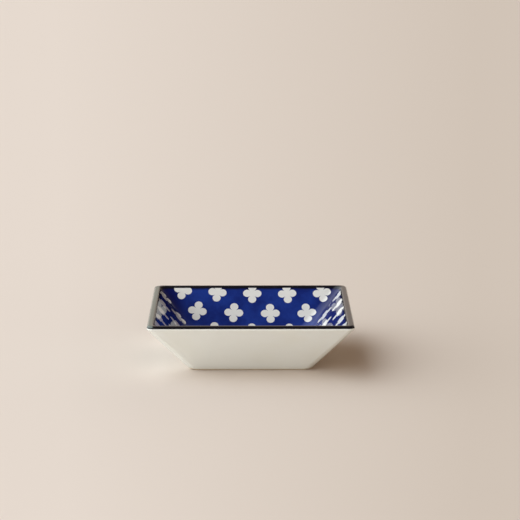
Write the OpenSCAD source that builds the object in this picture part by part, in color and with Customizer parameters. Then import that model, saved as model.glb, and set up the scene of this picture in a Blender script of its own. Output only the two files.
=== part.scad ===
// Square sauce dish of fired ceramic: flared walls, printed inside, dark line round the rim.
// Millimetres, +Z up. The origin is the middle of the foot, on the table.
//
// The fired clay carries four coats, all of one thickness: white glaze on the outside and
// under the floor, a dark band over the rim and a blue print inside. The print leaves a
// lattice of four-lobed figures open, and white glaze fills each one flush.

/* [Form] */
// Width across the rim, outside
rim_w = 90.5; // [80:0.5:110]
// Width across the foot, where the outer wall would meet the table
foot_w = 54; // [48:0.2:60]
// Height from the table to the top of the rim
height = 23.7; // [20:0.1:30]
// Width of the rim, level across its top
rim_t = 3; // [2.6:0.1:4]
// Round on the outer edge of the rim
lip_out_r = 1.2; // [0.5:0.1:1.3]
// Round on the inner edge of the rim
lip_in_r = 1; // [0.5:0.1:1.2]

/* [Floor and foot] */
// Height of the inside floor above the table
floor_z = 4.5; // [3.5:0.1:6]
// Round between the inside floor and the walls
floor_r = 5; // [3:0.5:7]
// Width of the bare ring that stands on the table
foot_ring_w = 4; // [2.5:0.5:8]
// Depth of the hollow inside the foot ring
foot_hollow = 0.8; // [0.5:0.1:1.4]
// Corner of that hollow, seen from above
hollow_corner_r = 1.5; // [0.5:0.25:4]
// Round on the outer edge of the foot
foot_edge_r = 0.5; // [0.3:0.1:0.8]
// Height of bare clay on the outer wall, above the round of the foot
bare_h = 0.2; // [0.1:0.1:2]

/* [Corners, seen from above] */
// Outer corner at the rim
rim_corner_r = 3; // [2:0.25:6]
// Outer corner at the foot
foot_corner_r = 4; // [2:0.1:6]
// Inner corner at the rim
inner_rim_corner_r = 3.5; // [2:0.25:6]
// Inner corner at the foot of the walls
inner_wall_corner_r = 7; // [4:0.5:9]
// Corner of the flat of the floor
floor_corner_r = 5; // [2:0.5:7]

/* [Coats] */
// Thickness of the glaze, the band and the print
coat_t = 0.3; // [0.2:0.05:0.4]
// Height of the dark band on the outside, from the top of the rim down
band_outer_h = 1.1; // [0.5:0.1:3]
// Width of the dark band on the inner walls, below the round of the rim
band_inner_w = 0.6; // [0.1:0.1:2]

/* [Print] */
// Pitch of the figures along a row, on the flat sheet
print_pitch = 18; // [14:0.5:22]
// Radius of the ring that the lobes of a figure are centred on
lobe_ring_r = 2.65; // [2:0.05:3.2]
// Radius of a lobe
lobe_r = 1.9; // [1.5:0.05:2.2]
// Least width of the unbroken blue edge below the dark band
print_edge_w = 0.1; // [0.1:0.05:1]
// How many times longer the sheet gets, above the foot of a wall
print_stretch = 1.155; // [1:0.005:1.2]
// How much narrower the sheet gets, from the floor to the top of a wall
print_gather = 0.1; // [0:0.01:0.15]
// How far the sheet bows up at the ends of a wall
print_bow_h = 1.8; // [0:0.1:3]
// Turn of the sheet in the dish, clockwise from above
print_turn = 1.2; // [-3:0.1:3]
// Turn of a single figure at the end of a wall, its top towards the wall's middle
figure_turn = 8; // [0:1:15]

/* [Hidden] */
$fn = 48;
corner_steps = 8;  // facets in each rounded corner
arc_steps = 7;     // facets in each round of the profile
foot_edge_steps = 3;
least_step = 0.05; // least height between two profile points on the outside
least_corner_r = 0.4;
stamp_reach = 1.2; // reach of a figure's cutter, each way from the surface

clay_colour = "#e4dccb";
glaze_colour = "#e6e1d3";
band_colour = "#15161f";
print_colour = "#1c3486";

// The profile lies in one plane: x is the distance from the middle, y is the height.
// The outer wall is the line from the foot that touches the outer round of the rim.
lip_out_c = [rim_w / 2 - lip_out_r, height - lip_out_r];
lip_in_c = [rim_w / 2 - rim_t + lip_in_r, height - lip_in_r];
foot_corner = [foot_w / 2, 0];
to_lip = lip_out_c - foot_corner;
wall_angle = atan2(to_lip.y, to_lip.x) - asin(lip_out_r / norm(to_lip));
up_wall = [cos(wall_angle), sin(wall_angle)];
out_of_wall = [sin(wall_angle), -cos(wall_angle)];

// The inner wall runs parallel to the outer one, down to the round of the floor.
wall_top = lip_in_c - lip_in_r * out_of_wall;
floor_c = let (y = floor_z + floor_r)
    [wall_top.x - (wall_top.y - y) / tan(wall_angle) - floor_r / sin(wall_angle), y];
wall_foot = floor_c + floor_r * out_of_wall;
floor_arc = floor_r * wall_angle * PI / 180;
wall_run = floor_c.x + floor_arc; // from the middle of the floor to the foot of the wall

// Points of a round about c, from angle a to angle b.
function arc(c, r, a, b, steps) =
    [for (i = [0:steps]) let (t = a + (b - a) * i / steps) c + r * [cos(t), sin(t)]];

// The outer face at a height: the wall, and above it the outer round of the rim.
lip_foot_y = lip_out_c.y - lip_out_r * cos(wall_angle);
function outer_at(y) = y <= lip_foot_y
    ? [foot_corner.x + y / tan(wall_angle), y]
    : let (rise = min(lip_out_r, y - lip_out_c.y))
      [lip_out_c.x + sqrt(lip_out_r * lip_out_r - rise * rise), y];

// The outer face between two heights, with the points of the round that lie between them.
function outer_run(from, to) = concat(
    [outer_at(from)],
    [for (p = arc(lip_out_c, lip_out_r, wall_angle - 90, 90, arc_steps))
        if (p.y > from + least_step && p.y < to - least_step) p],
    [outer_at(to)]);

// Outer corner radius, from the foot up to the rim.
function outer_corner(y) =
    foot_corner_r + (rim_corner_r - foot_corner_r) * min(1, max(0, y) / lip_out_c.y);

// Inner corner radius: it grows down the wall, and closes in with the round of the floor.
function inner_corner(p) = p.y >= wall_foot.y
    ? inner_wall_corner_r + (inner_rim_corner_r - inner_wall_corner_r)
        * (p.y - wall_foot.y) / (wall_top.y - wall_foot.y)
    : floor_corner_r + (inner_wall_corner_r - floor_corner_r)
        * (p.x - floor_c.x) / (wall_foot.x - floor_c.x);

// A profile point is [distance, height, corner radius].
function outside(points) = [for (p = points) [p.x, p.y, outer_corner(p.y)]];
function inside(points) = [for (p = points) [p.x, p.y, inner_corner(p)]];

// The finished surface, in stretches that meet: foot edge, outer glaze, band and print.
foot_edge_c = [foot_corner.x - foot_edge_r * tan(wall_angle / 2), foot_edge_r];
glaze_foot_y = foot_edge_r * (1 - cos(wall_angle)) + bare_h;
foot_edge = outside(concat(
    arc(foot_edge_c, foot_edge_r, -90, wall_angle - 90, foot_edge_steps),
    [outer_at(glaze_foot_y)]));
glaze_run = outside(outer_run(glaze_foot_y, height - band_outer_h));
band_run = concat(
    outside(outer_run(height - band_outer_h, height)),
    inside(concat(arc(lip_in_c, lip_in_r, 90, 90 + wall_angle, arc_steps),
                  [wall_top - band_inner_w * up_wall])));
print_run = inside(concat([wall_top - band_inner_w * up_wall],
                          arc(floor_c, floor_r, wall_angle - 90, -90, arc_steps)));

// The same surface one coat deeper, which is the clay's.
function flank(a, b) = let (d = [b.x - a.x, b.y - a.y]) [d.y, -d.x] / norm(d);
function sunk(run, before, after) = [for (i = [0:len(run) - 1])
    let (a = i > 0 ? run[i - 1] : before,
         b = i < len(run) - 1 ? run[i + 1] : after,
         n = flank(a, run[i]) + flank(run[i], b),
         s = coat_t * 2 * n / (n * n))
    [run[i].x - s.x, run[i].y - s.y, max(least_corner_r, run[i].z - s.x)]];

function before_last(run) = run[len(run) - 2];
clay_glaze_run = sunk(glaze_run, before_last(foot_edge), band_run[1]);
clay_band_run = sunk(band_run, before_last(glaze_run), print_run[1]);
clay_print_run = sunk(print_run, before_last(band_run), [0, floor_z]);

// A level square ring with round corners, anticlockwise from above.
function ring(p) = [for (c = [0:3], k = [0:corner_steps])
    let (a = 90 * (c + k / corner_steps), m = p.x - p.z)
    [m * (c == 0 || c == 3 ? 1 : -1) + p.z * cos(a),
     m * (c < 2 ? 1 : -1) + p.z * sin(a), p.y]];
ring_n = 4 * (corner_steps + 1);
function reversed(list) = [for (i = [len(list) - 1:-1:0]) list[i]];
function past_first(list) = [for (i = [1:len(list) - 1]) list[i]];

// Skin between two rings that follow each other along a profile.
function skin(a, b) = [for (i = [0:ring_n - 1]) let (j = (i + 1) % ring_n)
    [a * ring_n + i, b * ring_n + i, b * ring_n + j, a * ring_n + j]];

// A profile swept round the square and closed by a flat at each end.
module capped(profile) {
    last = len(profile) - 1;
    polyhedron(
        [for (p = profile) each ring(p)],
        concat([[for (i = [0:ring_n - 1]) i]],
               [for (k = [0:last - 1]) each skin(k, k + 1)],
               [[for (i = [ring_n - 1:-1:0]) last * ring_n + i]]));
}

// A profile swept round the square and joined back to its start.
module looped(profile) {
    count = len(profile);
    polyhedron([for (p = profile) each ring(p)],
               [for (k = [0:count - 1]) each skin(k, (k + 1) % count)]);
}

module coat(finished, clay) looped(concat(finished, reversed(clay)));

// The print before its figures are left open.
module print_film() capped(concat(reversed(clay_print_run), print_run));

// The hollow inside the foot ring, at a height.
function hollow_at(y) = [foot_edge_c.x - foot_ring_w, y, hollow_corner_r];

module ceramic_body() color(clay_colour) capped(concat(
    [hollow_at(foot_hollow + coat_t), hollow_at(0)],
    foot_edge, clay_glaze_run, past_first(clay_band_run), past_first(clay_print_run)));

module outer_glaze() color(glaze_colour) coat(glaze_run, clay_glaze_run);

module underside_glaze() color(glaze_colour)
    capped([hollow_at(foot_hollow), hollow_at(foot_hollow + coat_t)]);

module rim_band() color(band_colour) coat(band_run, clay_band_run);

// Length of the print along the profile, from the middle of the floor.
print_end = wall_run + norm(wall_top - wall_foot) - band_inner_w;

// Place on the inside at such a length.
function inside_at(run) =
    run <= floor_c.x ? [run, floor_z]
    : run <= wall_run
        ? floor_c + floor_r * [sin(lean_at(run)), -cos(lean_at(run))]
        : wall_foot + (run - wall_run) * up_wall;

// Lean of the surface there, from level.
function lean_at(run) =
    min(wall_angle, max(0, (run - floor_c.x) / floor_r * 180 / PI));

// Where a point of the flat sheet lands: [along the wall, distance along the profile].
// The sheet lies flat on the floor. Up a wall it stretches, gathers and bows.
function print_at(u, v, on_wall) =
    let (x = u * cos(print_turn) + v * sin(print_turn),
         y = v * cos(print_turn) - u * sin(print_turn),
         bow = print_bow_h * pow(x / (rim_w / 2), 2),
         run = y + (print_stretch - 1) * max(0, y - wall_run) + bow,
         gather = print_gather * max(0, run - floor_c.x) / (print_end - floor_c.x))
    on_wall ? [x * (1 - gather), run] : [x, y];

// A round cutter square to the surface, at a point of the flat sheet.
module stamp(u, v, r, on_wall) {
    p = print_at(u, v, on_wall);
    at = on_wall ? inside_at(p.y) : [p.y, floor_z];
    translate([p.x, at.x, at.y])
        rotate([on_wall ? lean_at(p.y) : 0, 0, 0])
            cylinder(h = 2 * stamp_reach, r = r, center = true);
}

// Four lobes, and a middle that reaches halfway between neighbouring lobes.
module figure(column, row, on_wall) {
    u = column * print_pitch / 2;
    v = row * print_pitch / 2;
    turn = on_wall ? figure_turn * u / (rim_w / 2) : 0;
    for (a = [turn:90:turn + 270])
        stamp(u + lobe_ring_r * cos(a), v + lobe_ring_r * sin(a), lobe_r, on_wall);
    stamp(u, v, lobe_ring_r / sqrt(2), on_wall);
}

// Rows are counted from the middle of the floor. Those that lie flat on it are the floor's,
// and the walls carry the rest, up to the last row whose middle is on the print.
sheet_end = wall_run + (print_end - wall_run) / print_stretch;
floor_rows = floor((floor_c.x - lobe_ring_r - lobe_r) / (print_pitch / 2));
wall_rows = [floor_rows + 1:floor(sheet_end / (print_pitch / 2))];

// Every second place is empty, and so are the diagonals, where two walls meet.
module floor_stamps()
    for (row = [-floor_rows:floor_rows], column = [-floor_rows:floor_rows])
        if ((row + column) % 2 != 0) figure(column, row, false);

// The top row is cut off level, which leaves the print an unbroken edge.
figures_end_y = print_run[0].y - coat_t * cos(wall_angle) - print_edge_w * sin(wall_angle);
module wall_stamps() intersection() {
    union() for (row = wall_rows, column = [1 - row:row - 1])
        if ((row + column) % 2 != 0) figure(column, row, true);
    translate([-rim_w / 2, 0, 0]) cube([rim_w, rim_w / 2, figures_end_y]);
}

module blue_print() color(print_colour) difference() {
    print_film();
    floor_stamps();
    for (side = [0:3]) rotate([0, 0, 90 * side]) wall_stamps();
}

module floor_figures() color(glaze_colour) intersection() {
    print_film();
    floor_stamps();
}

module wall_figures(side) color(glaze_colour) rotate([0, 0, 90 * side]) intersection() {
    print_film();
    wall_stamps();
}

module back_wall_figures() wall_figures(0);
module left_wall_figures() wall_figures(1);
module front_wall_figures() wall_figures(2);
module right_wall_figures() wall_figures(3);

ceramic_body();
outer_glaze();
underside_glaze();
rim_band();
blue_print();
floor_figures();
back_wall_figures();
left_wall_figures();
front_wall_figures();
right_wall_figures();
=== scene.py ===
"""Square sauce dish of fired ceramic.

White glaze outside, a dark line round the rim and a blue print with white figures inside.
"""

from math import asin, atan2, cos, floor, pi, radians, sin, sqrt, tan

import bmesh
import bpy
from bpy.props import FloatProperty, FloatVectorProperty, PointerProperty
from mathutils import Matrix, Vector


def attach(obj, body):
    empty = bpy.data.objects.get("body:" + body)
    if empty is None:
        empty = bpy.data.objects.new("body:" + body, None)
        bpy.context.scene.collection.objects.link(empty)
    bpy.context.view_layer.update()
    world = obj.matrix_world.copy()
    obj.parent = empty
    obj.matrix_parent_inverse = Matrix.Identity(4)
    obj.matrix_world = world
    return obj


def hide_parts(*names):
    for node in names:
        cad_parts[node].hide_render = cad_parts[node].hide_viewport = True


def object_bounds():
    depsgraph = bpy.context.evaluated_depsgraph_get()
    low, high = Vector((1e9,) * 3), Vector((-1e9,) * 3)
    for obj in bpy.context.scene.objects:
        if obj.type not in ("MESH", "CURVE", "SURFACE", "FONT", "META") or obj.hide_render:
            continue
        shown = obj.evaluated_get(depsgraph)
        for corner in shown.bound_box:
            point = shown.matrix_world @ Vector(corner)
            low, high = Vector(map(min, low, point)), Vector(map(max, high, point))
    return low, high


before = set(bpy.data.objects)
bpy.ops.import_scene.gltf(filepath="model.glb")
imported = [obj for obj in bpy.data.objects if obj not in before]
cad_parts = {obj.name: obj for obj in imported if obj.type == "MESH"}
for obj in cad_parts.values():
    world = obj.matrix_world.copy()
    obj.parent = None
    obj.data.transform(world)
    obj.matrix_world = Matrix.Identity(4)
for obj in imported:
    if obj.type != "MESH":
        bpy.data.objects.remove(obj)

bl_info = {
    "name": "Square Sauce Dish",
    "version": (1, 0, 0),
    "blender": (4, 5, 0),
    "location": "View3D > Sidebar > Sauce Dish",
    "description": "Builds a printed square sauce dish, coat by coat, and its studio",
    "category": "Add Mesh",
}

CAD_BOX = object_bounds()
MM = 0.001

CORNER_POINTS = 16
RING_POINTS = 4 * CORNER_POINTS
LIP_STEPS = 26
INNER_LIP_STEPS = 10
FLOOR_STEPS = 16
BEAD_STEPS = 5
FOOT_STEPS = 6
LOBE_SIDES = 44
LEAST_STEP = 0.02 * MM
LEAST_CORNER = 0.4 * MM
STACK = 1 * MM
STAMP_REACH = 1.2 * MM
SKIN_REACH = 0.05 * MM
QUARTER = pi / 2
SMOOTH_BELOW = radians(35)
PAPER_SIZE = 30
SENSOR_WIDTH = 36
VIEW_REACH = 100


def length(name, millimetres, description):
    """A length setting, given in millimetres."""
    return FloatProperty(name=name, description=description, default=millimetres * MM,
                         precision=5, unit="LENGTH")


def angle(name, degrees, description):
    """An angle setting, given in degrees."""
    return FloatProperty(name=name, description=description, default=radians(degrees),
                         precision=4, unit="ROTATION")


def amount(name, default, description):
    """A setting without a unit."""
    return FloatProperty(name=name, description=description, default=default, precision=4)


def linear(shade):
    """Linear value of a display shade from 0 to 255."""
    share = shade / 255
    return share / 12.92 if share <= 0.04045 else ((share + 0.055) / 1.055) ** 2.4


def colour(name, shades, description):
    """A colour setting, given as display shades from 0 to 255."""
    return FloatVectorProperty(name=name, description=description, subtype="COLOR", size=3,
                               min=0, max=1, default=[linear(shade) for shade in shades])


class DishSizes(bpy.types.PropertyGroup):
    """Sizes of the clay form and its coats."""

    rim_width: length("Rim width", (CAD_BOX[1].x - CAD_BOX[0].x) / MM, "Width across the rim, outside")
    height: length("Height", (CAD_BOX[1].z - CAD_BOX[0].z) / MM, "From the table to the top of the rim")
    foot_width: length("Foot width", 54, "Where the outer walls would meet the table")
    rim_thickness: length("Rim thickness", 3, "Width of the rim, level across its top")
    lip_outer: length("Outer lip", 1.2, "Round on the outer edge of the rim")
    lip_inner: length("Inner lip", 1, "Round on the inner edge of the rim")
    floor_height: length("Floor height", 4.5, "Height of the inside floor above the table")
    floor_round: length("Floor round", 5, "Round between the inside floor and the walls")
    foot_ring: length("Foot ring", 4, "Width of the bare ring that stands on the table")
    foot_hollow: length("Foot hollow", 0.8, "Depth of the hollow inside the foot ring")
    foot_edge: length("Foot edge", 0.5, "Round on the outer edge of the foot")
    hollow_edge: length("Hollow edge", 0.25, "Round on the inner edge of the foot ring")
    bare_height: length("Bare height", 0.2, "Bare clay on the outer wall, above the round of the foot")
    rim_corner: length("Rim corner", 3, "Outer corner at the rim, seen from above")
    foot_corner: length("Foot corner", 4, "Outer corner at the foot, seen from above")
    inner_rim_corner: length("Inner rim corner", 3.5, "Inner corner at the rim, seen from above")
    inner_wall_corner: length("Inner wall corner", 7, "Inner corner at the foot of the walls")
    floor_corner: length("Floor corner", 5, "Corner of the flat of the floor")
    hollow_corner: length("Hollow corner", 1.5, "Corner of the hollow under the foot")
    coat: length("Coat", 0.3, "Thickness of the glaze, the band and the print")
    bead_height: length("Bead height", 0.4, "Height over which the glaze rounds off above the foot")
    bead_depth: length("Bead depth", 0.25, "How far the glaze rounds off towards the clay")
    meniscus: length("Meniscus", 0.5, "Round where the underside glaze climbs the foot ring")
    band_outer: length("Band outside", 1.1, "Height of the dark band on the outside")
    band_inner: length("Band inside", 0.6, "Width of the dark band below the inner lip")


class PrintLayout(bpy.types.PropertyGroup):
    """Layout of the four-lobed figures on the printed sheet."""

    pitch: length("Pitch", 18, "Pitch of the figures along a row, on the flat sheet")
    lobe_ring: length("Lobe ring", 2.65, "Radius of the ring that the lobes are centred on")
    lobe: length("Lobe", 1.9, "Radius of a lobe")
    stretch: amount("Stretch", 1.155, "How many times longer the sheet gets, above the foot of a wall")
    gather: amount("Gather", 0.1, "How much narrower the sheet gets, from the floor to the rim")
    bow: length("Bow", 1.8, "How far the sheet bows up at the ends of a wall")
    turn: angle("Turn", 1.2, "Turn of the sheet in the dish, clockwise from above")
    figure_turn: angle("Figure turn", 8, "Turn of a figure at the end of a wall")


class DishColours(bpy.types.PropertyGroup):
    """Colours of the clay and its coats."""

    white: colour("White glaze", (244, 249, 246), "Glaze where it lies thick")
    cream: colour("Thin glaze", (241, 243, 232), "Glaze where it thins and the clay shows through")
    figure: colour("Figure white", (233, 232, 226), "White of the figures inside")
    blue: colour("Print blue", (30, 58, 142), "Blue of the print")
    # Used for uneven print depth, and also as painted shade: the left and right walls inside are darkened
    # towards this blue.
    deep_blue_and_side_shade: colour("Deep blue", (9, 20, 86), "Blue where the print lies thick")
    band: colour("Band", (12, 14, 24), "Dark line round the rim")
    band_brown: colour("Thin band", (30, 27, 34), "Dark line where it was brushed on thinly")
    # Painted reflection: the grey on top of the dark line at the left stands in for the pale surroundings
    # that it reflects.
    painted_band_reflection: colour("Worn band", (92, 102, 95), "Dark line where its top is worn")
    clay: colour("Clay", (222, 206, 180), "Bare clay of the foot ring")
    grit: colour("Grit", (150, 118, 88), "Grains in the bare clay")


class StudioSettings(bpy.types.PropertyGroup):
    """Paper, light and camera."""

    paper: colour("Paper", (231, 218, 207), "Paper at the left of the picture")
    # Painted shade: the paper darkens towards the right, standing in for the falloff of the window light.
    painted_paper_falloff: colour("Far paper", (210, 196, 183), "Paper at the right, away from the window")
    # Painted shade: paper beside the left wall of the dish is darkened to cancel the light that the white
    # glaze throws back on it.
    painted_paper_shade: colour("Dim paper", (194, 184, 175), "Paper at the left wall, which throws light on it")
    horizon: colour("Surroundings", (245, 232, 220), "Pale surroundings near the horizon, at the left")
    far_side: colour("Far side", (180, 160, 143), "Dimmer surroundings near the horizon, at the right")
    zenith: colour("Overhead", (114, 94, 76), "Dim surroundings overhead")
    window: colour("Window", (237, 248, 255), "Window at the left")
    window_strength: amount("Window strength", 2.62, "How bright the middle of the window is")
    window_height: angle("Window height", 36, "Height of the middle of the window above the table")
    window_spread: angle("Window spread", 82, "How far the light of the window fades out, from its middle")
    lens: amount("Lens", 157.32, "Focal length in millimetres on a 36 mm sensor")
    camera_place: FloatVectorProperty(name="Camera place", description="Where the camera stands",
                                      subtype="TRANSLATION", unit="LENGTH", size=3, precision=5,
                                      default=(-0.00164, -1.00626, 0.23884))
    camera_tilt: angle("Camera tilt", 10.937, "How far the camera looks down")
    camera_turn: angle("Camera turn", 0.3364, "How far the camera looks to the right")


def flank(a, b):
    """Unit normal of a stretch of the outline, on its finished side."""
    return Vector((b[1] - a[1], a[0] - b[0])).normalized()


def arc(centre, radius, start, end, steps):
    """Points of a round in the plane of the outline."""
    turns = [start + (end - start) * step / steps for step in range(steps + 1)]
    return [centre + radius * Vector((cos(turn), sin(turn))) for turn in turns]


class Outline:
    """Outline of the dish, from its sizes. Its points are distance, height and corner radius."""

    def __init__(self, sizes):
        self.sizes = sizes
        half_rim = sizes.rim_width / 2
        self.lip_outer = Vector((half_rim - sizes.lip_outer, sizes.height - sizes.lip_outer))
        self.lip_inner = Vector((half_rim - sizes.rim_thickness + sizes.lip_inner,
                                 sizes.height - sizes.lip_inner))
        to_lip = self.lip_outer - Vector((sizes.foot_width / 2, 0))
        self.lean = atan2(to_lip.y, to_lip.x) - asin(sizes.lip_outer / to_lip.length)
        self.up = Vector((cos(self.lean), sin(self.lean)))
        self.out = Vector((sin(self.lean), -cos(self.lean)))
        self.wall_top = self.lip_inner - sizes.lip_inner * self.out
        centre_height = sizes.floor_height + sizes.floor_round
        self.floor_centre = Vector((
            self.wall_top.x - (self.wall_top.y - centre_height) / tan(self.lean)
            - sizes.floor_round / sin(self.lean), centre_height))
        self.wall_foot = self.floor_centre + sizes.floor_round * self.out
        self.wall_run = self.floor_centre.x + sizes.floor_round * self.lean
        self.print_top = self.wall_top - sizes.band_inner * self.up
        self.print_end = self.wall_run + (self.print_top - self.wall_foot).length
        self.foot_edge = Vector((sizes.foot_width / 2 - sizes.foot_edge * tan(self.lean / 2),
                                 sizes.foot_edge))
        self.hollow = self.foot_edge.x - sizes.foot_ring
        self.glaze_foot = sizes.foot_edge * (1 - cos(self.lean)) + sizes.bare_height
        self.band_foot = sizes.height - sizes.band_outer

    def outer_at(self, height):
        """The outer face at a height: the wall, and above it the outer lip."""
        radius = self.sizes.lip_outer
        if height <= self.lip_outer.y - radius * cos(self.lean):
            return Vector((self.sizes.foot_width / 2 + height / tan(self.lean), height))
        rise = min(radius, height - self.lip_outer.y)
        return Vector((self.lip_outer.x + sqrt(radius ** 2 - rise ** 2), height))

    def outer_run(self, low, high):
        """The outer face between two heights."""
        lip = arc(self.lip_outer, self.sizes.lip_outer, self.lean - QUARTER, QUARTER, LIP_STEPS)
        between = [p for p in lip if low + LEAST_STEP < p.y < high - LEAST_STEP]
        return [self.outer_at(low), *between, self.outer_at(high)]

    def outside(self, points):
        """Points with the outer corner radius, which changes evenly from the foot up to the rim."""
        low, high = self.sizes.foot_corner, self.sizes.rim_corner
        rises = [min(1, max(0, p.y) / self.lip_outer.y) for p in points]
        return [(p.x, p.y, low + (high - low) * rise) for p, rise in zip(points, rises)]

    def inner_corner(self, p):
        """Inner corner radius: it grows down the wall, and closes in with the round of the floor."""
        wall = self.sizes.inner_wall_corner
        if p.y >= self.wall_foot.y:
            share = (p.y - self.wall_foot.y) / (self.wall_top.y - self.wall_foot.y)
            return wall + (self.sizes.inner_rim_corner - wall) * share
        share = (p.x - self.floor_centre.x) / (self.wall_foot.x - self.floor_centre.x)
        return self.sizes.floor_corner + (wall - self.sizes.floor_corner) * share

    def inside(self, points):
        """Points with the inner corner radius."""
        return [(p.x, p.y, self.inner_corner(p)) for p in points]

    def glaze(self):
        """Outer glaze, from the foot up to the band."""
        return self.outside(self.outer_run(self.glaze_foot, self.band_foot))

    def beaded_glaze(self):
        """Outer glaze whose lower edge rounds off towards the clay."""
        sizes = self.sizes
        foot = self.outer_at(self.glaze_foot)
        bead = []
        for step in range(BEAD_STEPS):
            turn = QUARTER * step / BEAD_STEPS
            rise = sizes.bead_height * (1 - cos(turn))
            bead.append(foot + rise * self.up - sizes.bead_depth * (1 - sin(turn)) * self.out)
        wall = self.outer_run(self.glaze_foot + sizes.bead_height * sin(self.lean), self.band_foot)
        return self.outside([*bead, *wall])

    def band(self):
        """Dark band, from the outer face over the lip and down to the print."""
        outer = self.outer_run(self.band_foot, self.sizes.height)
        lip = arc(self.lip_inner, self.sizes.lip_inner, QUARTER, QUARTER + self.lean, INNER_LIP_STEPS)
        return self.outside(outer) + self.inside([*lip, self.print_top])

    def lining(self):
        """Print, from the band down the wall and on to the flat of the floor."""
        return self.inside([self.print_top, *arc(self.floor_centre, self.sizes.floor_round,
                                                 self.lean - QUARTER, -QUARTER, FLOOR_STEPS)])

    def skin(self):
        """The whole finished surface, from the outer glaze to the floor."""
        return self.glaze() + self.band()[1:] + self.lining()[1:]

    def foot(self):
        """Bare foot, from the hollow over the ring to the start of the glaze."""
        sizes = self.sizes
        corner = sizes.hollow_corner
        hollow_edge = Vector((self.hollow + sizes.hollow_edge, sizes.hollow_edge))
        inner = arc(hollow_edge, sizes.hollow_edge, 2 * QUARTER, 3 * QUARTER, FOOT_STEPS)
        outer = arc(self.foot_edge, sizes.foot_edge, -QUARTER, self.lean - QUARTER, FOOT_STEPS)
        return [(self.hollow, sizes.foot_hollow + sizes.coat, corner),
                *[(p.x, p.y, corner + p.x - self.hollow) for p in inner],
                *self.outside(outer)]

    def clay(self):
        """Clay under the coats: the finished surface, one coat deeper."""
        skin = self.skin()
        depth = self.sizes.coat
        earlier = [self.foot()[-1], *skin]
        later = [*skin[1:], (0, self.sizes.floor_height)]
        sunk = []
        for before, at, after in zip(earlier, skin, later):
            normal = flank(before, at) + flank(at, after)
            step = 2 * depth * normal / normal.length_squared
            sunk.append((at[0] - step.x, at[1] - step.y, max(LEAST_CORNER, at[2] - step.x)))
        return self.foot() + [skin[0], *sunk]

    def underside(self):
        """Glaze in the hollow of the foot, which climbs the foot ring a little."""
        sizes = self.sizes
        corner = sizes.hollow_corner
        centre = Vector((self.hollow - sizes.meniscus, sizes.foot_hollow - sizes.meniscus))
        rounds = arc(centre, sizes.meniscus, 0, QUARTER, BEAD_STEPS)
        return [(self.hollow, sizes.foot_hollow + sizes.coat, corner),
                *[(p.x, p.y, max(LEAST_CORNER, corner - (self.hollow - p.x))) for p in rounds]]

    def inside_at(self, run):
        """Place on the inside at a distance from the middle of the floor, along the outline."""
        if run <= self.floor_centre.x:
            return Vector((run, self.sizes.floor_height))
        if run <= self.wall_run:
            lean = self.lean_at(run)
            return self.floor_centre + self.sizes.floor_round * Vector((sin(lean), -cos(lean)))
        return self.wall_foot + (run - self.wall_run) * self.up

    def lean_at(self, run):
        """Lean of the inside there, from level."""
        return min(self.lean, max(0, (run - self.floor_centre.x) / self.sizes.floor_round))


def select_verts(piece, wanted):
    """Selects the vertices that pass a test, in edit mode."""
    mesh = bmesh.from_edit_mesh(piece.data)
    mesh.verts.ensure_lookup_table()
    for vert in mesh.verts:
        vert.select = wanted(vert)
    mesh.select_flush_mode()
    bmesh.update_edit_mesh(piece.data)


def start_piece(name):
    """An empty mesh object at the origin, in edit mode."""
    bpy.ops.object.select_all(action="DESELECT")
    bpy.ops.mesh.primitive_circle_add(vertices=RING_POINTS, radius=MM)
    piece = bpy.context.object
    piece.name = name
    piece.data.name = name
    bpy.ops.object.mode_set(mode="EDIT")
    bpy.ops.mesh.delete(type="VERT")
    return piece


def select_rings(piece, first, count=1):
    """Selects neighbouring rings of a loft, in edit mode."""
    select_verts(piece, lambda v: first <= v.index // RING_POINTS < first + count)


def add_ring(piece, index, half_width, corner):
    """Adds a level square with round corners to a stack: a circle whose quarters are moved apart."""
    half_step = pi / RING_POINTS
    apart = half_width - corner * cos(half_step)
    bpy.ops.mesh.select_all(action="DESELECT")
    bpy.ops.mesh.primitive_circle_add(vertices=RING_POINTS, radius=corner, location=(0, 0, index * STACK),
                                      rotation=(0, 0, half_step))
    first = index * RING_POINTS
    for x_side in (-1, 1):
        for y_side in (-1, 1):
            select_verts(piece, lambda v: v.index >= first and v.co.x * x_side > 0 and v.co.y * y_side > 0)
            bpy.ops.transform.translate(value=(x_side * apart, y_side * apart, 0))


def loft(name, points, capped=(False, False)):
    """Bridges a stack of round-cornered squares, then moves each to its height, the finished side out."""
    piece = start_piece(name)
    for index, (half_width, _, corner) in enumerate(points):
        add_ring(piece, index, half_width, corner)
    for index in range(len(points) - 1):
        select_rings(piece, index, 2)
        bpy.ops.mesh.bridge_edge_loops()
    for index, (_, height, _) in enumerate(points):
        select_rings(piece, index)
        bpy.ops.transform.translate(value=(0, 0, height - index * STACK))
    for index, cap in zip((0, len(points) - 1), capped):
        if cap:
            select_rings(piece, index)
            bpy.ops.mesh.edge_face_add()
    bpy.ops.mesh.select_all(action="SELECT")
    bpy.ops.mesh.normals_make_consistent(inside=False)
    bpy.ops.object.mode_set(mode="OBJECT")
    face_finished_side(piece, points)
    bpy.ops.object.shade_smooth()
    return piece


def face_finished_side(piece, points):
    """Flips a surface whose faces look away from its finished side."""
    widest = max(zip(points, points[1:]), key=lambda pair: pair[0][0] + pair[1][0])
    side = max(piece.data.polygons, key=lambda face: face.center.x - abs(face.center.y))
    if side.normal.x * flank(*widest).x < 0:
        bpy.ops.object.mode_set(mode="EDIT")
        bpy.ops.mesh.flip_normals()
        bpy.ops.object.mode_set(mode="OBJECT")


def make_active(piece):
    """Selects one object and makes it the active one."""
    bpy.ops.object.select_all(action="DESELECT")
    piece.select_set(True)
    bpy.context.view_layer.objects.active = piece


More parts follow.
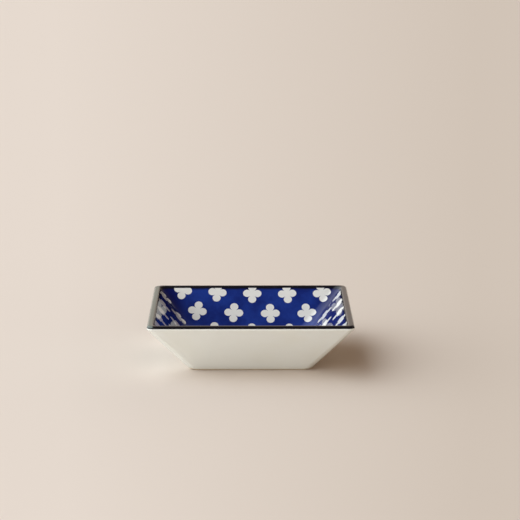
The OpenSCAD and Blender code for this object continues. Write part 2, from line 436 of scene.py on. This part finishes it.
def apply_modifier(piece, kind, **settings):
    """Adds a modifier, sets it and applies it."""
    make_active(piece)
    modifier = piece.modifiers.new(kind.title(), kind)
    for key, value in settings.items():
        setattr(modifier, key, value)
    bpy.ops.object.modifier_apply(modifier=modifier.name)


def thicken(piece, thickness):
    """Gives a surface its thickness, towards the clay."""
    apply_modifier(piece, "SOLIDIFY", thickness=thickness, offset=-1, use_even_offset=True)


def remove(piece):
    """Deletes a helper object."""
    make_active(piece)
    bpy.ops.object.delete()


def copy_of(piece, name, turn=0):
    """A copy with its own mesh, turned about the middle of the dish."""
    make_active(piece)
    bpy.ops.object.duplicate()
    copy = bpy.context.object
    copy.name = name
    copy.data.name = name
    copy.rotation_euler.z = turn
    bpy.ops.object.transform_apply(location=False, rotation=True, scale=False)
    return copy


def smooth_like_skin(piece, outline):
    """Takes the shading of the whole finished surface, so that neighbouring coats shade as one."""
    skin = loft("skin", outline.skin(), capped=(False, True))
    apply_modifier(skin, "WEIGHTED_NORMAL")
    make_active(piece)
    bpy.ops.object.shade_smooth()
    apply_modifier(piece, "DATA_TRANSFER", object=skin, use_loop_data=True,
                   data_types_loops={"CUSTOM_NORMAL"}, loop_mapping="POLYINTERP_NEAREST",
                   use_max_distance=True, max_distance=SKIN_REACH)
    remove(skin)


def place_piece(piece, node, material):
    """Stands a finished piece in for its node."""
    piece.data.materials.clear()
    piece.data.materials.append(material)
    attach(piece, "root")
    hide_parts(node)


def cut(piece, cutter, operation):
    """Joins a piece with a cutter, or keeps what lies inside or outside it."""
    apply_modifier(piece, "BOOLEAN", object=cutter, operation=operation, solver="MANIFOLD")


class PrintSheet:
    """The printed sheet as it lies in the dish. It stretches, gathers and bows up the walls."""

    def __init__(self, outline, layout):
        self.outline = outline
        self.layout = layout
        self.half_pitch = layout.pitch / 2
        flat = outline.floor_centre.x
        reach = layout.lobe_ring + layout.lobe
        self.floor_rows = floor((flat - reach) / self.half_pitch)
        sheet_end = outline.wall_run + (outline.print_end - outline.wall_run) / layout.stretch
        self.wall_rows = range(self.floor_rows + 1, floor(sheet_end / self.half_pitch) + 1)

    def gather_at(self, run):
        """How much narrower the sheet is at a distance from the middle of the floor."""
        flat = self.outline.floor_centre.x
        return self.layout.gather * max(0, run - flat) / (self.outline.print_end - flat)

    def lands(self, u, v, on_wall):
        """Where a point of the flat sheet lands: along the wall, and along the outline."""
        layout = self.layout
        x = u * cos(layout.turn) + v * sin(layout.turn)
        y = v * cos(layout.turn) - u * sin(layout.turn)
        if not on_wall:
            return x, y
        bow = layout.bow * (x / (self.outline.sizes.rim_width / 2)) ** 2
        run = y + (layout.stretch - 1) * max(0, y - self.outline.wall_run) + bow
        return x * (1 - self.gather_at(run)), run

    def stamp(self, u, v, radius, on_wall):
        """Adds a round cutter, square to the surface, at a point of the flat sheet."""
        x, run = self.lands(u, v, on_wall)
        at = self.outline.inside_at(run) if on_wall else Vector((run, self.outline.sizes.floor_height))
        lean = self.outline.lean_at(run) if on_wall else 0
        bpy.ops.mesh.primitive_cylinder_add(vertices=LOBE_SIDES, radius=radius, depth=2 * STAMP_REACH,
                                            location=(x, at.x, at.y), rotation=(lean, 0, 0))

    def stamp_lobes(self, column, row, first, on_wall):
        """Adds two facing lobes of a figure."""
        u = column * self.half_pitch
        v = row * self.half_pitch
        ring = self.layout.lobe_ring
        turn = self.layout.figure_turn * u / (self.outline.sizes.rim_width / 2) if on_wall else 0
        for lobe in (turn + first, turn + first + 2 * QUARTER):
            self.stamp(u + ring * cos(lobe), v + ring * sin(lobe), self.layout.lobe, on_wall)

    def sites(self, on_wall):
        """Column and row of each figure on the back wall, or on the floor. Every second place is empty."""
        rows = self.wall_rows if on_wall else range(-self.floor_rows, self.floor_rows + 1)
        reaches = {row: row - 1 if on_wall else self.floor_rows for row in rows}
        places = [(column, row) for row in rows for column in range(-reaches[row], reaches[row] + 1)]
        return [(column, row) for column, row in places if (row + column) % 2]

    def stamps(self, on_wall):
        """One cutter of all figures on the back wall, or on the floor: middles, then pairs of lobes."""
        sites = self.sites(on_wall)
        cutter = start_piece("stamps")
        for column, row in sites:
            middle = self.layout.lobe_ring / sqrt(2)
            self.stamp(column * self.half_pitch, row * self.half_pitch, middle, on_wall)
        bpy.ops.object.mode_set(mode="OBJECT")
        for first in (0, QUARTER):
            lobes = start_piece("lobes")
            for column, row in sites:
                self.stamp_lobes(column, row, first, on_wall)
            bpy.ops.object.mode_set(mode="OBJECT")
            cut(cutter, lobes, "UNION")
            remove(lobes)
        return cutter


def printed_film(outline, name):
    """The coat inside the dish before its figures are left open."""
    film = loft(name, outline.lining(), capped=(False, True))
    thicken(film, outline.sizes.coat)
    return film


class Wire:
    """A shader socket that takes part in sums as a number does."""

    def __init__(self, nodes, socket):
        self.nodes = nodes
        self.socket = socket

    def __add__(self, other):
        return self.nodes.maths("ADD", self, other)

    def __sub__(self, other):
        return self.nodes.maths("SUBTRACT", self, other)

    def __rsub__(self, other):
        return self.nodes.maths("SUBTRACT", other, self)

    def __mul__(self, other):
        return self.nodes.maths("MULTIPLY", self, other)

    __radd__ = __add__
    __rmul__ = __mul__


class Nodes:
    """A node tree that is written down as expressions."""

    def __init__(self, tree):
        self.tree = tree

    def add(self, kind, settings=None, inputs=None, output=0):
        """Adds a node: its settings first, then the values or links of its sockets."""
        node = self.tree.nodes.new(kind)
        for key, value in (settings or {}).items():
            setattr(node, key, value)
        for key, value in (inputs or {}).items():
            self.put(node.inputs[key], value)
        return Wire(self, node.outputs[output])

    def put(self, socket, value):
        """Links a wire to a socket, or sets a plain value on it."""
        if isinstance(value, Wire):
            self.tree.links.new(value.socket, socket)
        else:
            socket.default_value = value

    def maths(self, operation, *values):
        """A sum on one or two values."""
        return self.add("ShaderNodeMath", {"operation": operation}, dict(enumerate(values)))

    def step(self, value, low, high):
        """A soft step from 0 at the low value to 1 at the high one."""
        return self.add("ShaderNodeMapRange", {"interpolation_type": "SMOOTHSTEP"},
                        {"Value": value, "From Min": low, "From Max": high})

    def blend(self, share, first, second):
        """A colour between two colours."""
        return self.add("ShaderNodeMix", {"data_type": "RGBA"}, {0: share, 6: first, 7: second}, 2)


class Finish(Nodes):
    """A material round one shader, on the coordinates of the dish."""

    def __init__(self, name, **constants):
        self.material = bpy.data.materials.new(name)
        self.material.use_nodes = True
        super().__init__(self.material.node_tree)
        self.shader = self.tree.nodes["Principled BSDF"]
        for key, value in constants.items():
            self.shader.inputs[key.replace("_", " ")].default_value = value
        self.place = self.add("ShaderNodeTexCoord", output="Object")

    def axis(self, name):
        """One coordinate of the dish, in metres."""
        return self.add("ShaderNodeSeparateXYZ", inputs={0: self.place}, output=name)

    def from_middle(self, name):
        """Distance from the middle of the dish along one coordinate."""
        return self.maths("ABSOLUTE", self.axis(name))

    def clouds(self, size, detail=2, roughness=0.5):
        """Cloudy variation whose patches are about this size."""
        inputs = {"Vector": self.place, "Scale": 1 / size, "Detail": detail, "Roughness": roughness}
        return self.add("ShaderNodeTexNoise", inputs=inputs, output="Fac")

    def wobble(self, size, reach):
        """An uneven offset, up to about half this reach either way."""
        return reach * (self.clouds(size, detail=3) - 0.5)

    def specks(self, spacing, radius):
        """Round specks, one or none in each cell of this size."""
        cells = {"Vector": self.place, "Scale": 1 / spacing}
        distance = self.add("ShaderNodeTexVoronoi", inputs=cells, output="Distance")
        return 1 - self.step(distance, 0, radius / spacing)

    def feed(self, socket, value):
        """Feeds a socket of the shader."""
        self.put(self.shader.inputs[socket], value)

    def rough_up(self, height, depth):
        """Feeds the shader's normal with relief of this depth."""
        inputs = {"Distance": depth, "Height": height}
        self.feed("Normal", self.add("ShaderNodeBump", inputs=inputs, output="Normal"))


def rgba(colour_value):
    """A colour setting as a socket takes it."""
    return (*colour_value, 1)


def gloss(finish, base):
    """Fired gloss: a skin that is a little uneven in shine and relief."""
    wave_size = 9 * MM
    peel_size = 1.1 * MM
    dull_size = 14 * MM
    dull_roughness = 0.03
    peel_roughness = 0.01
    peel_relief = 0.06
    relief_depth = 0.02 * MM
    waves = finish.clouds(wave_size, detail=1)
    peel = finish.clouds(peel_size)
    dull = finish.clouds(dull_size)
    finish.feed("Roughness", base + dull_roughness * dull + peel_roughness * peel)
    finish.rough_up(waves + peel_relief * peel, relief_depth)


def white_glaze_finish(colours, outline):
    """Creamy white glaze, thin and warm where it runs over edges, with a few faint specks."""
    finish = Finish("white_glaze", IOR=1.5)
    x = finish.from_middle("X")
    y = finish.from_middle("Y")
    from_edge = finish.maths("ABSOLUTE", x - y)
    walls = finish.step(finish.maths("MAXIMUM", x, y), outline.hollow, outline.foot_edge.x)
    edge_width = 1.6 * MM
    foot_low = 0.5 * MM
    foot_high = 2.2 * MM
    patch_size = 22 * MM
    edge_share = 0.45
    foot_share = 0.5
    patch_share = 0.35
    edge = walls * (1 - finish.step(from_edge, 0, edge_width))
    foot = 1 - finish.step(finish.axis("Z"), foot_low, foot_high)
    patches = finish.step(finish.clouds(patch_size, detail=3), low=0.42, high=0.75)
    thin = edge_share * edge + foot_share * foot + patch_share * patches
    ground = finish.blend(thin, rgba(colours.white), rgba(colours.cream))
    speck_spacing = 7 * MM
    speck_radius = 0.16 * MM
    speck_group = 30 * MM
    speck_share = 0.35
    speckled = finish.step(finish.clouds(speck_group), low=0.5, high=0.6)
    specks = finish.specks(speck_spacing, speck_radius) * speckled
    finish.feed("Base Color", finish.blend(speck_share * specks, ground, rgba(colours.grit)))
    gloss(finish, base=0.07)
    return finish.material


def figure_white_finish(colours):
    """White of the figures, with a trace of blue that bled in while firing."""
    finish = Finish("figure_white", IOR=1.5)
    bleed_share = 0.05
    bleed_size = 2.5 * MM
    tint = bleed_share * finish.clouds(bleed_size, detail=3)
    finish.feed("Base Color", finish.blend(tint, rgba(colours.figure), rgba(colours.blue)))
    gloss(finish, base=0.02)
    return finish.material


def blue_print_finish(colours, outline):
    """Cobalt print under clear glaze: uneven in depth, with painted shade on the left and right walls, and
    dark where the paint of the rim ran into it.
    """
    finish = Finish("blue_print", IOR=1.3)
    x = finish.from_middle("X")
    y = finish.from_middle("Y")
    cloud_size = 13 * MM
    grain_size = 0.7 * MM
    cloud_share = 0.6
    grain_share = 0.25
    clouds = finish.step(finish.clouds(cloud_size, detail=3, roughness=0.6), low=0.3, high=0.72)
    grain = finish.clouds(grain_size)
    # Painted shade: the blue deepens towards the left and right walls, for the shade there, not for a
    # thicker print.
    side_shade_from = 24 * MM
    side_shade_to = 37 * MM
    thick = finish.step(x, side_shade_from, side_shade_to)
    depth = finish.maths("MAXIMUM", cloud_share * clouds + grain_share * grain, thick)
    ground = finish.blend(depth, rgba(colours.blue), rgba(colours.deep_blue_and_side_shade))
    strokes_across = 900
    strokes_along = 60
    strokes = finish.add("ShaderNodeCombineXYZ", inputs={
        0: strokes_across * (x - y), 1: strokes_along * finish.axis("Z")})
    brush = finish.add("ShaderNodeTexNoise", inputs={"Vector": strokes, "Scale": 1, "Detail": 2})
    corner_full = 3 * MM
    corner_end = 9 * MM
    corner_shine = 0.1
    corner = 1 - finish.step(finish.maths("ABSOLUTE", x - y), corner_full, corner_end)
    finish.feed("Coat Weight", corner_shine * corner * finish.step(brush, low=0.4, high=0.65))
    top = outline.print_top.y
    below = 1.1 * MM
    above = 0.2 * MM
    wobble_height = 0.8 * MM
    wobble_size = 4 * MM
    height = finish.axis("Z") + finish.wobble(wobble_size, wobble_height)
    run_in = finish.step(height, top - below, top + above)
    finish.feed("Base Color", finish.blend(run_in, ground, rgba(colours.band)))
    gloss(finish, base=0.02)
    return finish.material


def rim_band_finish(colours, outline):
    """Nearly black line, brushed on: browner where the brush left little, with a painted grey reflection
    on its top at the left.
    """
    finish = Finish("rim_band", IOR=1.35)
    brush_size = 5 * MM
    brown_share = 0.7
    brushed = finish.step(finish.clouds(brush_size, detail=3, roughness=0.6), low=0.45, high=0.75)
    paint = finish.blend(brown_share * brushed, rgba(colours.band), rgba(colours.band_brown))
    # Painted reflection: the top of the line at the left turns grey, for the pale surroundings that it
    # reflects.
    edge = outline.wall_top.x
    inwards = 0.1 * MM
    outwards = 0.5 * MM
    wobble_width = 0.8 * MM
    wobble_size = 3 * MM
    to_left = 0 - finish.axis("X") + finish.wobble(wobble_size, wobble_width)
    leftward = finish.step(to_left, edge - inwards, edge + outwards)
    top = outline.sizes.height
    reflection_end = 0.9 * MM
    reflection_full = 0.4 * MM
    reflecting = leftward * finish.step(finish.axis("Z"), top - reflection_end, top - reflection_full)
    finish.feed("Base Color", finish.blend(reflecting, paint, rgba(colours.painted_band_reflection)))
    gloss(finish, base=0.08)
    return finish.material


def bare_clay_finish(colours):
    """Bare fired clay: dry, with fine grit."""
    finish = Finish("bare_clay", IOR=1.45)
    grit_spacing = 0.9 * MM
    grit_radius = 0.16 * MM
    grit_group = 4 * MM
    grain_size = 0.4 * MM
    patch_size = 6 * MM
    grain_depth = 0.05 * MM
    patch_share = 0.25
    grain_share = 0.15
    grit_share = 0.5
    least_roughness = 0.75
    grain_roughness = 0.2
    gritty = finish.step(finish.clouds(grit_group), low=0.45, high=0.6)
    grit = finish.specks(grit_spacing, grit_radius) * gritty
    grain = finish.clouds(grain_size, detail=3, roughness=0.7)
    patches = finish.clouds(patch_size, detail=3)
    tone = patch_share * patches + grain_share * grain + grit_share * grit
    finish.feed("Base Color", finish.blend(tone, rgba(colours.clay), rgba(colours.grit)))
    finish.feed("Roughness", least_roughness + grain_roughness * grain)
    finish.rough_up(grain, grain_depth)
    return finish.material


def paper_finish(studio):
    """Plain paper, with painted shade: darker towards the right of the picture, for the falloff of the
    window light, and beside the left wall, to cancel the light that the dish throws back on it.
    """
    finish = Finish("studio_paper", Specular_IOR_Level=0, Roughness=0.9)
    nearest = 0.75
    left_slope = -0.085
    right_slope = 0.1
    away = finish.maths("MAXIMUM", finish.axis("Y") - studio.camera_place.y, nearest)
    slope = finish.maths("DIVIDE", finish.axis("X"), away)
    # Painted shade: the share of darker paper grows towards the right, standing in for the falloff of the
    # window light.
    share = finish.add("ShaderNodeMapRange", inputs={
        "Value": slope, "From Min": left_slope, "From Max": right_slope})
    paper = finish.blend(share, rgba(studio.paper), rgba(studio.painted_paper_falloff))
    # Painted shade: a soft dark spot beside the left wall cancels the light that the white glaze throws
    # back on the paper.
    spot_x = -41 * MM
    spot_width = 17 * MM
    spot_length = 34 * MM
    across = (finish.axis("X") - spot_x) * (1 / spot_width)
    along = finish.axis("Y") * (1 / spot_length)
    shade_spot = finish.maths("DIVIDE", 1, 1 + across * across + along * along)
    finish.feed("Base Color", finish.blend(shade_spot, paper, rgba(studio.painted_paper_shade)))
    return finish.material


class DISH_OT_clay_body(bpy.types.Operator):
    """Model the pressed clay with its bare foot ring"""

    bl_idname = "dish.clay_body"
    bl_label = "Clay Body"

    def execute(self, context):
        outline = Outline(context.scene.dish_sizes)
        body = loft("clay_body", outline.clay(), capped=(True, True))
        bpy.ops.object.shade_smooth_by_angle(angle=SMOOTH_BELOW)
        place_piece(body, "ceramic_body", bare_clay_finish(context.scene.dish_colours))
        return {"FINISHED"}


class DISH_OT_outer_glaze(bpy.types.Operator):
    """Pour the white glaze over the outer walls"""

    bl_idname = "dish.outer_glaze"
    bl_label = "Outer Glaze"

    def execute(self, context):
        sizes = context.scene.dish_sizes
        outline = Outline(sizes)
        glaze = loft("outside_glaze", outline.beaded_glaze())
        thicken(glaze, sizes.coat)
        smooth_like_skin(glaze, outline)
        material = white_glaze_finish(context.scene.dish_colours, outline)
        place_piece(glaze, "outer_glaze", material)
        return {"FINISHED"}


class DISH_OT_underside_glaze(bpy.types.Operator):
    """Pour the white glaze into the hollow of the foot"""

    bl_idname = "dish.underside_glaze"
    bl_label = "Underside Glaze"

    def execute(self, context):
        outline = Outline(context.scene.dish_sizes)
        glaze = loft("foot_glaze", outline.underside(), capped=(True, True))
        bpy.ops.object.shade_smooth_by_angle(angle=SMOOTH_BELOW)
        material = white_glaze_finish(context.scene.dish_colours, outline)
        place_piece(glaze, "underside_glaze", material)
        return {"FINISHED"}


class DISH_OT_rim_band(bpy.types.Operator):
    """Paint the dark line over the rim"""

    bl_idname = "dish.rim_band"
    bl_label = "Rim Band"

    def execute(self, context):
        outline = Outline(context.scene.dish_sizes)
        band = loft("rim_line", outline.band())
        thicken(band, outline.sizes.coat)
        smooth_like_skin(band, outline)
        place_piece(band, "rim_band", rim_band_finish(context.scene.dish_colours, outline))
        return {"FINISHED"}


class DISH_OT_blue_print(bpy.types.Operator):
    """Lay the blue print inside and leave its figures open"""

    bl_idname = "dish.blue_print"
    bl_label = "Blue Print"

    def execute(self, context):
        scene = context.scene
        outline = Outline(scene.dish_sizes)
        sheet = PrintSheet(outline, scene.print_layout)
        lining = printed_film(outline, "blue_lining")
        wall = sheet.stamps(on_wall=True)
        cutters = [sheet.stamps(on_wall=False), wall]
        cutters += [copy_of(wall, "stamps", side * QUARTER) for side in (1, 2, 3)]
        for cutter in cutters:
            cut(lining, cutter, "DIFFERENCE")
            remove(cutter)
        smooth_like_skin(lining, outline)
        place_piece(lining, "blue_print", blue_print_finish(scene.dish_colours, outline))
        return {"FINISHED"}


class DISH_OT_white_figures(bpy.types.Operator):
    """Fill the open figures of the print with white glaze, on the floor and on each wall"""

    bl_idname = "dish.white_figures"
    bl_label = "White Figures"

    def execute(self, context):
        scene = context.scene
        outline = Outline(scene.dish_sizes)
        sheet = PrintSheet(outline, scene.print_layout)
        material = figure_white_finish(scene.dish_colours)
        whites = {}
        for name, on_wall in (("floor", False), ("back_wall", True)):
            whites[name] = printed_film(outline, name + "_whites")
            cutter = sheet.stamps(on_wall)
            cut(whites[name], cutter, "INTERSECT")
            remove(cutter)
            smooth_like_skin(whites[name], outline)
        for side, name in enumerate(("left_wall", "front_wall", "right_wall"), start=1):
            whites[name] = copy_of(whites["back_wall"], name + "_whites", side * QUARTER)
        for name, piece in whites.items():
            place_piece(piece, name + "_figures", material)
        return {"FINISHED"}


class DISH_OT_stage(bpy.types.Operator):
    """Set up the paper, the soft light and the camera"""

    bl_idname = "dish.stage"
    bl_label = "Studio"

    def execute(self, context):
        scene = context.scene
        studio = scene.dish_studio
        self.lay_paper(studio)
        self.light(scene, studio)
        self.aim_camera(scene, studio)
        scene.view_settings.view_transform = "Standard"
        return {"FINISHED"}

    def lay_paper(self, studio):
        """Lays the paper that the dish stands on."""
        bpy.ops.object.select_all(action="DESELECT")
        bpy.ops.mesh.primitive_plane_add(size=PAPER_SIZE)
        paper = bpy.context.object
        paper.name = "studio_paper"
        paper.data.materials.append(paper_finish(studio))

    def light(self, scene, studio):
        """Lights the dish from a soft window at the left, in pale surroundings."""
        world = bpy.data.worlds.new("studio")
        world.use_nodes = True
        scene.world = world
        nodes = Nodes(world.node_tree)
        direction = nodes.add("ShaderNodeTexCoord", output="Generated")
        height = nodes.add("ShaderNodeSeparateXYZ", inputs={0: direction}, output="Z")
        left = 0 - nodes.add("ShaderNodeSeparateXYZ", inputs={0: direction}, output="X")
        dim_side = -0.7
        pale_side = 0.5
        dome_top = 0.9
        window_edge = 0.02
        window_full = 0.35
        sides = nodes.step(left, dim_side, pale_side)
        horizon = nodes.blend(sides, rgba(studio.far_side), rgba(studio.horizon))
        dome = nodes.blend(nodes.step(height, 0, dome_top), horizon, rgba(studio.zenith))
        facing = cos(studio.window_height) * left + sin(studio.window_height) * height
        spread = nodes.step(facing, cos(studio.window_spread), 1)
        glow = spread * nodes.step(left, window_edge, window_full)
        bright = [studio.window_strength * share for share in studio.window]
        sky = nodes.add("ShaderNodeMix", {"data_type": "RGBA", "blend_type": "ADD"},
                        {0: glow, 6: dome, 7: rgba(bright)}, 2)
        nodes.put(world.node_tree.nodes["Background"].inputs["Color"], sky)

    def aim_camera(self, scene, studio):
        """Sets up the camera at the viewing angle of the picture."""
        tilt = QUARTER - studio.camera_tilt
        bpy.ops.object.camera_add(location=studio.camera_place, rotation=(tilt, 0, -studio.camera_turn))
        camera = bpy.context.object
        camera.name = "camera"
        camera.data.sensor_width = SENSOR_WIDTH
        camera.data.lens = studio.lens
        camera.data.clip_end = VIEW_REACH
        scene.camera = camera


class DISH_PT_panel(bpy.types.Panel):
    """Steps of the dish, in the order in which they are made"""

    bl_idname = "DISH_PT_panel"
    bl_label = "Square Sauce Dish"
    bl_space_type = "VIEW_3D"
    bl_region_type = "UI"
    bl_category = "Sauce Dish"

    def draw(self, context):
        for step in STEPS:
            self.layout.operator(step.bl_idname)


GROUPS = {
    "dish_sizes": DishSizes,
    "print_layout": PrintLayout,
    "dish_colours": DishColours,
    "dish_studio": StudioSettings,
}
STEPS = (
    DISH_OT_clay_body,
    DISH_OT_outer_glaze,
    DISH_OT_underside_glaze,
    DISH_OT_rim_band,
    DISH_OT_blue_print,
    DISH_OT_white_figures,
    DISH_OT_stage,
)
CLASSES = (*GROUPS.values(), *STEPS, DISH_PT_panel)


def register():
    """Adds the settings, the steps and the panel."""
    for cls in CLASSES:
        bpy.utils.register_class(cls)
    for name, group in GROUPS.items():
        setattr(bpy.types.Scene, name, PointerProperty(type=group))


def unregister():
    """Removes what register added."""
    for name in GROUPS:
        delattr(bpy.types.Scene, name)
    for cls in reversed(CLASSES):
        bpy.utils.unregister_class(cls)


def main():
    register()
    bpy.ops.dish.clay_body()
    bpy.ops.dish.outer_glaze()
    bpy.ops.dish.underside_glaze()
    bpy.ops.dish.rim_band()
    bpy.ops.dish.blue_print()
    bpy.ops.dish.white_figures()
    bpy.ops.dish.stage()


if __name__ == "__main__":
    main()
